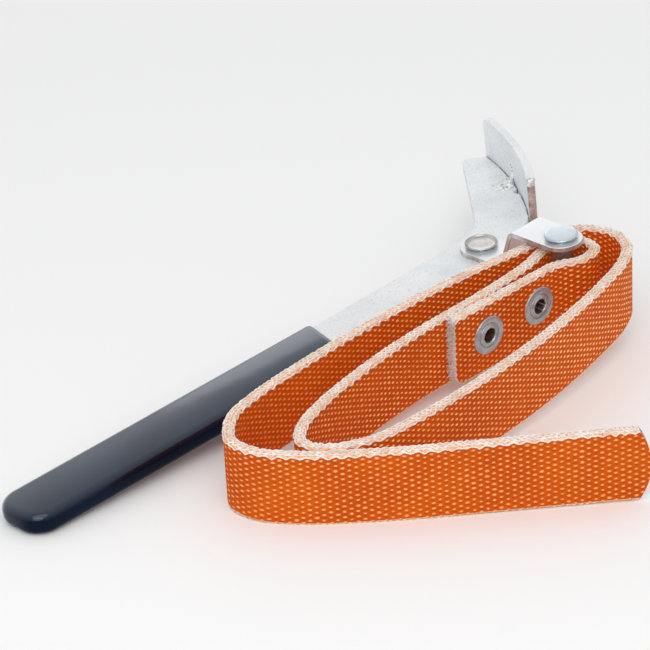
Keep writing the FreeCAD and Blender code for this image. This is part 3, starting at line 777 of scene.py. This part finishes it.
def stitching(name, body, start, end):
    """Two-ply ropes of sewing thread over both edges of a stretch of the strap."""
    step = STITCH / STEPS_PER_STITCH
    stations = np.arange(round(start / step), round(end / step) + 1) * step
    stations = np.clip(stations, 0, route.length)
    count, pull = len(stations), SHIFT_LENGTH * STEPS_PER_STITCH
    lines = []
    for flip in (False, True):
        for middle, hand, reach, stitches, later in ROPES:
            if flip and abs(middle) > UNSEEN:
                continue
            swing = reach * (1 + uneven(count, SWING_VARIES, STEPS_PER_STITCH))
            drift = uneven(count, DRIFT_VARIES, pull)
            turn = stations / STITCH + uneven(count, TURN_VARIES, STEPS_PER_STITCH)
            wave = np.arcsin(ZIGZAG * np.sin(2 * math.pi * (turn / stitches + later)))
            centre = middle + drift + swing * wave / math.asin(ZIGZAG)
            slip = uneven(count, SLIP_VARIES, pull)
            for ply in (0, math.pi):
                phase = hand * math.pi * (turn + slip) + ply
                across = centre + PLY_TURN * np.cos(phase)
                across = across + uneven(count, PLY_VARIES, STEPS_PER_STITCH // 2)
                lift = ROPE_LIFT + PLY_TURN * np.sin(phase)
                lift = lift + uneven(count, PLY_VARIES, STEPS_PER_STITCH // 2)
                x, z = edge_place(across, lift)
                if flip:
                    z = np.maximum(STRAP_WIDTH - z, PLY_RADIUS)
                along = trimmed(stations, np.clip(z, 0, STRAP_WIDTH))
                lines.append(route.places(along, x, z))
    points, faces = tubes(lines, PLY_RADIUS, THREAD_SIDES)
    piece = add_mesh(name, points, faces, body)
    piece.data.materials.append(thread_stuff)
    return piece


def bend_tail(piece):
    """Bake a piece of the swinging stretch's placing into its mesh; nothing here bends it."""
    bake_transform(piece)


def strap():
    """The coiled stretch and the swinging one: webbing and stitching of each."""
    coils = webbing("strap_coils", "strap", 0, seam_at)
    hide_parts("strap")
    tail = webbing("strap_tail", None, seam_at, route.length)
    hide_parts("strap_free_end")
    bend_tail(tail)
    stitching("stitching_coils", "strap", 0, seam_at)
    bend_tail(stitching("stitching_tail", None, seam_at, route.length))


TUFTS = 800
TUFT_MARGIN = 0.4  # kept free of tufts at the strap's edges
TUFT_LONGEST = 2.1
TUFT_LEAN = 0.5  # how far they lean out of line, as a share of their length
TUFT_CURL = 0.25  # how far their tips curl, as a share of their length
TUFT_RADIUS = (0.08, 0.16)
TUFT_RINGS = ((-0.3, 1.0), (0.45, 0.8), (1.0, 0.25))  # share of the length, and of the radius


def frayed_end():
    """Frayed yarn ends on the cut of the riveted end, each a thin tapering spike."""
    points, faces = [], []
    for _ in range(TUFTS):
        height = rng.uniform(TUFT_MARGIN, STRAP_WIDTH - TUFT_MARGIN)
        across = rng.uniform(-0.5, 0.5) * STRAP_THICKNESS
        root = float(trimmed(np.array(0.0), np.array(height)))
        length = TUFT_LONGEST * rng.uniform(0.3, 1.0) ** 1.5
        base = route.places(np.array(root), across, height)
        ahead = (route.places(np.array(root - 0.5), across, height)
                 - route.places(np.array(root + 0.5), across, height))
        ahead /= np.linalg.norm(ahead) or 1
        lean = ahead + rng.normal(0, TUFT_LEAN, 3)
        lean /= np.linalg.norm(lean)
        side = np.cross(lean, (0, 0, 1.0))
        side /= np.linalg.norm(side)
        over = np.cross(side, lean)
        radius = rng.uniform(*TUFT_RADIUS)
        curl = rng.normal(0, TUFT_CURL * length, 3)
        first = len(points)
        for share, thick in TUFT_RINGS:
            centre = base + lean * length * share + curl * max(share, 0) ** 2
            for k in range(3):
                angle = k * 2 * math.pi / 3
                out = side * math.cos(angle) + over * math.sin(angle)
                points.append(centre + radius * thick * out)
        faces += grid_faces(3, 3, first) + end_faces(3, 3, first)
    piece = add_mesh("frayed_end", np.array(points), faces, "strap")
    piece.data.materials.append(fray_stuff)


# ------------------------------ eyelets

EYELET_BORE = 3.1  # inner radius
EYELET_SHEET = 0.8  # thickness of the washer behind
EYELET_TEAR = (4.0, 0.06)  # the lip inside this radius is torn in and out by this much
BORE_MARGIN = 0.05  # faces this close to the bore belong to it
FINE_SIDES = 96  # of eyelets and rivets


def eyelet_profile(depth):
    """Flat flange, a groove, a bead, and a lip rolled out of the barrel."""
    flange = [(8.1, 0.0), (8.1, 0.30), (7.95, 0.55), (7.65, 0.66), (6.8, 0.62), (5.9, 0.55),
              (5.46, 0.48), (5.32, 0.02), (4.98, 0.02), (4.90, 0.52), (4.7, 0.64), (4.22, 0.68),
              (4.04, 0.92), (3.82, 1.10), (3.52, 1.12), (3.28, 0.92), (EYELET_BORE, 0.40)]
    barrel = [(EYELET_BORE, -depth), (3.9, -depth), (3.9, -0.02)]
    return flange + barrel


def eyelets():
    """Rolled eyelets through both layers; each lies on the riveted end's outer face."""
    facing = Matrix.Rotation(math.radians(90), 4, "X")
    for number, (x, level, back) in enumerate(EYELETS, start=1):
        matrix = strap_frame @ Matrix.Translation(Vector((x, EYELET_FACE, level)) * MM) @ facing
        profile = eyelet_profile(back - EYELET_FACE + EYELET_SHEET)
        piece = turned(f"eyelet_{number}", profile, matrix, "strap",
                       sides=FINE_SIDES, ragged=EYELET_TEAR)
        set_material(piece, nickel_stuff, bore_shade_stuff)
        axis, centre = matrix.to_3x3() @ Vector((0, 0, 1)), matrix.translation
        # faces in the bore take the painted shade instead of the nickel
        for face in piece.data.polygons:
            away = face.center - centre
            radius = (away - axis * away.dot(axis)).length / MM
            face.material_index = int(radius < EYELET_BORE + BORE_MARGIN)
        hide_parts("strap_eyelets")


# ------------------------------ rivets and washers

HEAD_RADIUS = 6.9
HEAD_HEIGHT = 1.4
SHANK_RADIUS = 3.5
WASHER_RADIUS = 6.2
WASHER_HEIGHT = 0.5
AXIAL_GAP = 0.05  # between heads, washers and links
LINK_THICKNESS = 2.0
PLATE_CLEARANCE = 0.1  # between the bar and each link
WINDOW_HIGH = 20.5  # inner faces of the links at the strap pin, above the bar's middle
WINDOW_LOW = 19.3  # and below it
UNDERCUT = 0.45  # height of the dark gap between washer and head
UNDERCUT_RADIUS = 5.0
RIM_TILT = 0.25  # faces of a head that look up less than this take the washers' darker tone, as painted shade on the rims
FLAT_CROWN = ((5.9, 0.02), (4.0, 0.05), (0, 0.08))
DISHED_CROWN = ((6.38, -0.10), (6.15, -0.45), (5.8, -0.68), (4.8, -0.76), (2.5, -0.70), (0, -0.62))


def rivet_profile(below, above, crown):
    """Shank with a factory head below and a set head above, which ends in the given crown."""
    low = -below - AXIAL_GAP
    under = above + AXIAL_GAP + WASHER_HEIGHT
    top, r = under + HEAD_HEIGHT, HEAD_RADIUS
    lip = under + UNDERCUT
    upper = [(SHANK_RADIUS, under + 0.02), (UNDERCUT_RADIUS, under + 0.02), (UNDERCUT_RADIUS, lip),
             (r - 0.45, lip + 0.03), (r - 0.10, lip + 0.18), (r, lip + 0.38), (r, top - 0.30),
             (r - 0.10, top - 0.10), (r - 0.35, top)]
    foot = low - HEAD_HEIGHT
    lower = [(0, foot), (r - 0.5, foot), (r - 0.12, foot + 0.15), (r, foot + 0.5), (r, low - 0.3),
             (r - 0.25, low), (SHANK_RADIUS, low)]
    return lower + upper + [(radius, top + rise) for radius, rise in crown]


def washer_profile(level):
    """A flat ring with broken outer edges."""
    outer, inner, top, edge = WASHER_RADIUS, SHANK_RADIUS, level + WASHER_HEIGHT, 0.12
    return [(inner, level), (outer - edge, level), (outer, level + edge), (outer, top - edge),
            (outer - edge, top), (inner, top)]


def rivets():
    """The pivot rivet and the strap pin, each with its washer."""
    plate_top = PLATE_HALF + PLATE_CLEARANCE + LINK_THICKNESS
    window_top = WINDOW_HIGH + LINK_THICKNESS
    window_bottom = WINDOW_LOW + LINK_THICKNESS
    at_pin = tool_frame @ Matrix.Translation(Vector((0, -PIN_REACH * MM, 0)))
    for name, matrix, below, above, crown, body, stuff in (
            ("pivot_rivet", tool_frame, plate_top, plate_top, DISHED_CROWN, "handle", pivot_stuff),
            ("strap_pin", at_pin, window_bottom, window_top, FLAT_CROWN, "links", pin_stuff)):
        rivet = turned(name + "_turned", rivet_profile(below, above, crown), matrix, body,
                       sides=FINE_SIDES)
        washer_name = name.replace("_rivet", "") + "_washer"
        washer = turned(washer_name + "_turned", washer_profile(above + AXIAL_GAP), matrix, body)
        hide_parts(name)
        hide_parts(washer_name)
        set_material(rivet, stuff, washer_and_rim_shade)
        up = matrix.to_3x3() @ Vector((0, 0, 1))
        # painted shade: the heads' rims and undersides take the darker washer colour
        for face in rivet.data.polygons:
            face.material_index = int(face.normal.dot(up) < RIM_TILT)
        set_material(washer, washer_and_rim_shade)


# ------------------------------ bar, jaw, links and grip

JAW_THICKNESS = 3.6
JAW_NEAR = math.radians(-42.0)  # direction of the jaw's cropped end from the jaw's centre
EDGE_TILT = 0.2  # faces of the links nearer upright than this are their sheared edges
CROPPED_FACING = 0.98  # faces of the jaw that look this straight out of its end are cropped
PLATE_SOFT, LINK_SOFT, GRIP_SOFT = 0.35, 0.3, 0.4  # widths of broken edges


def plates():
    """Bar, jaw, links and grip, from the CAD."""
    softened("bar_plate", "handle_bar", "handle", "zinc_plate", PLATE_SOFT, bar_stuff)
    jaw = softened("jaw_strip", "jaw_plate", "handle", "zinc_plate", PLATE_SOFT, jaw_stuff,
                   sheared_stuff)
    upright = tool_frame.to_3x3() @ Vector((0, 0, 1))
    cropped = tool_frame.to_3x3() @ Vector((math.sin(JAW_NEAR), -math.cos(JAW_NEAR), 0))
    for face in jaw.data.polygons:
        face.material_index = int(face.normal.dot(cropped) > CROPPED_FACING)
    for side in ("upper", "lower"):
        strip = softened(f"link_{side}_strip", f"link_{side}", "links", "link_steel", LINK_SOFT,
                         link_stuff, link_edge_stuff)
        for face in strip.data.polygons:
            face.material_index = int(abs(face.normal.dot(upright)) < EDGE_TILT)
    softened("grip_vinyl_sleeve", "grip_sleeve", "handle", "grip_vinyl", GRIP_SOFT, vinyl_stuff)


# ------------------------------ weld

ROUGHNESS = ((1.1, 0.35), (3.1, 0.12))  # features for each millimetre, and their share
ROUGH_HEIGHT = 0.7


def melted(name, lumps, grain):
    """Lumps, as places and radii in tool-frame millimetres, melted into one rough skin."""
    shape = bmesh.new()
    for (x, y, z), (a, b, c) in lumps:
        made = bmesh.ops.create_icosphere(shape, subdivisions=3, radius=1.0)
        for vertex in made["verts"]:
            vertex.co = Vector((vertex.co.x * a + x, vertex.co.y * b + y, vertex.co.z * c + z))
    mesh = bpy.data.meshes.new(name)
    shape.to_mesh(mesh)
    shape.free()
    piece = in_scene(name, mesh)
    remesh = piece.modifiers.new("melt", "REMESH")
    remesh.mode = "VOXEL"
    remesh.voxel_size = grain
    graph = bpy.context.evaluated_depsgraph_get()
    skin = bpy.data.meshes.new_from_object(piece.evaluated_get(graph))
    piece.modifiers.clear()
    for vertex in skin.vertices:
        rough = sum(noise.noise(vertex.co * scale) * size for scale, size in ROUGHNESS)
        vertex.co += vertex.normal * rough * ROUGH_HEIGHT
    skin.transform(tool_frame @ Matrix.Scale(MM, 4))
    skin.shade_smooth()
    piece.data = skin
    set_material(piece, weld_stuff)
    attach(piece, "handle")
    return piece


WELD_ANGLE = math.radians(-29.2)  # direction of the weld from the jaw's centre
WELD_GRAIN, RUN_GRAIN = 0.28, 0.22  # voxel sizes
BEAD_OUT = 2.4  # the bead's middle from the jaw's face
BEAD = (
    # place along the seam, radius, half height, middle above the plate
    (-3.2, 1.2, 1.3, 0.6), (-1.4, 1.9, 1.9, 0.5), (0.4, 2.2, 2.3, 0.6), (2.2, 2.0, 1.7, 0.4),
    (3.8, 1.4, 1.2, 0.2),
)
PUDDLE = (
    # place along the seam, distance from the jaw's face, radius
    (0.6, 5.6, 2.4), (2.6, 6.4, 2.0), (0.2, 7.8, 1.8), (3.8, 4.4, 2.0),
    (-1.2, 5.2, 2.0), (2.0, 8.8, 1.2), (5.0, 6.2, 1.2), (-1.2, 9.2, 0.9),
)
SMEAR = ((2.6, 1.2), (4.4, 0.95), (6.4, 0.8), (8.6, 0.7), (11.5, 0.6))  # height, radius
SPATTER = 26


def weld():
    """The weld: a lumpy bead in the corner of plate and jaw, a smear up the jaw, and spatter."""
    along = Vector((math.sin(WELD_ANGLE), -math.cos(WELD_ANGLE), 0))
    inward = -Vector((math.cos(WELD_ANGLE), math.sin(WELD_ANGLE), 0))
    foot = JAW_CENTRE - inward * JAW_RADIUS
    for name, side in (("weld_bead_above", 1), ("weld_bead_below", -1)):
        table = [(step, BEAD_OUT, lift, radius, tall) for step, radius, tall, lift in BEAD]
        table += [(step, out, 0, radius, radius * 0.55) for step, out, radius in PUDDLE]
        table += [(0.3 - rise * 0.12, 0.1, rise, radius, radius * 1.5) for rise, radius in SMEAR]
        for _ in range(SPATTER):
            step, out, radius = rng.uniform(-3, 8), rng.uniform(2.5, 14), rng.uniform(0.12, 0.34)
            table.append((step, out, 0, radius, radius * 0.8))
        lumps = []
        for step, out, rise, radius, tall in table:
            at = foot + along * step + inward * out
            level = side * PLATE_HALF + side * rise
            lumps.append(((at.x, at.y, level), (radius, radius, tall)))
        piece = melted(name, lumps, WELD_GRAIN)
        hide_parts("jaw_welds")


RUN = ((-1.0, 19.3, 1.1), (0.3, 18.9, 1.4), (1.1, 19.5, 1.0), (-0.5, 17.6, 1.1), (0.7, 17.7, 1.0))


def zinc_run():
    """A drip of zinc at the top of the jaw's cropped end, from places across, heights and radii."""
    outward = Vector((math.cos(JAW_NEAR), math.sin(JAW_NEAR), 0))
    edge = JAW_CENTRE + outward * (JAW_RADIUS + JAW_THICKNESS / 2)
    lumps = []
    for shift, level, radius in RUN:
        at = edge + outward * shift
        lumps.append(((at.x, at.y, level), (radius, radius, radius)))
    melted("zinc_run", lumps, RUN_GRAIN)


# ------------------------------ stage

AIM = Vector((0.0361, 0.0873, 0.0))  # the floor's point at the middle of the picture
AZIMUTH, ELEVATION, ROLL = -42.55, 26.0, 3.0
DISTANCE = 1.408
LENS, SENSOR = 188.3, 36.0
FLOOR_HALF = 3.0
SKY_STRENGTH = 0.73
SKY = ((0.0, (0.80, 0.81, 0.83)), (0.7, (1.0, 1.0, 1.0)))  # level or lower, and from there up
LIGHTS = (
    # name, place, diameter, power
    ("key", (-0.66, -0.72, 1.39), 1.5, 6.0),
    ("fill", (-0.98, -0.84, 0.80), 1.0, 4.5),
    ("back", (1.0, 1.09, 0.50), 0.7, 1.0),
)


def make_camera():
    """The photograph's view: its direction, its slight roll and its long lens."""
    a, e, r = (math.radians(x) for x in (AZIMUTH, ELEVATION, ROLL))
    back = Vector((math.sin(a) * math.cos(e), -math.cos(a) * math.cos(e), math.sin(e)))
    level_right = Vector((math.cos(a), math.sin(a), 0))
    level_up = back.cross(level_right)
    right = level_right * math.cos(r) - level_up * math.sin(r)
    up = level_right * math.sin(r) + level_up * math.cos(r)
    camera = in_scene("camera", bpy.data.cameras.new("camera"))
    turn = Matrix((right, up, back)).transposed().to_4x4()
    camera.matrix_world = Matrix.Translation(AIM + back * DISTANCE) @ turn
    camera.data.lens = LENS
    camera.data.sensor_width = SENSOR
    bpy.context.scene.camera = camera


def make_floor():
    mesh = bpy.data.meshes.new("floor")
    corners = [(x * FLOOR_HALF, y * FLOOR_HALF, 0) for x, y in ((-1, -1), (1, -1), (1, 1), (-1, 1))]
    mesh.from_pydata(corners, [], [(0, 1, 2, 3)])
    floor = in_scene("floor", mesh)
    s = Shader("floor", (0.96, 0.96, 0.96), 0.9)
    s.set("Specular IOR Level", 0.1)
    mesh.materials.append(s.material)


def make_lights():
    """A pale sky, and round lights aimed at the shared frame's origin."""
    world = bpy.data.worlds.new("studio")
    bpy.context.scene.world = world
    world.use_nodes = True
    tree = world.node_tree
    sky = tree.nodes["Background"]
    coordinates = tree.nodes.new("ShaderNodeTexCoord")
    split = tree.nodes.new("ShaderNodeSeparateXYZ")
    ramp = tree.nodes.new("ShaderNodeValToRGB")
    tree.links.new(coordinates.outputs["Generated"], split.inputs[0])
    tree.links.new(split.outputs["Z"], ramp.inputs["Fac"])
    for element, (place, colour) in zip(ramp.color_ramp.elements, SKY):
        element.position = place
        element.color = (*colour, 1)
    tree.links.new(ramp.outputs["Color"], sky.inputs["Color"])
    sky.inputs["Strength"].default_value = SKY_STRENGTH
    for name, place, size, power in LIGHTS:
        lamp = bpy.data.lights.new(name, "AREA")
        lamp.shape = "DISK"
        lamp.size = size
        lamp.energy = power
        holder = in_scene(name, lamp)
        holder.location = place
        holder.rotation_mode = "QUATERNION"
        holder.rotation_quaternion = (-Vector(place)).to_track_quat("-Z", "Y")


# ------------------------------ everything

make_camera()
make_floor()
make_lights()
strap()
frayed_end()
eyelets()
rivets()
plates()
weld()
zinc_run()
for node, material in (("pin_spacer", washer_and_rim_shade), ("eyelet_washers", nickel_stuff)):
    set_material(frame["nodes"][node], material)
bpy.context.scene.view_settings.view_transform = "Standard"
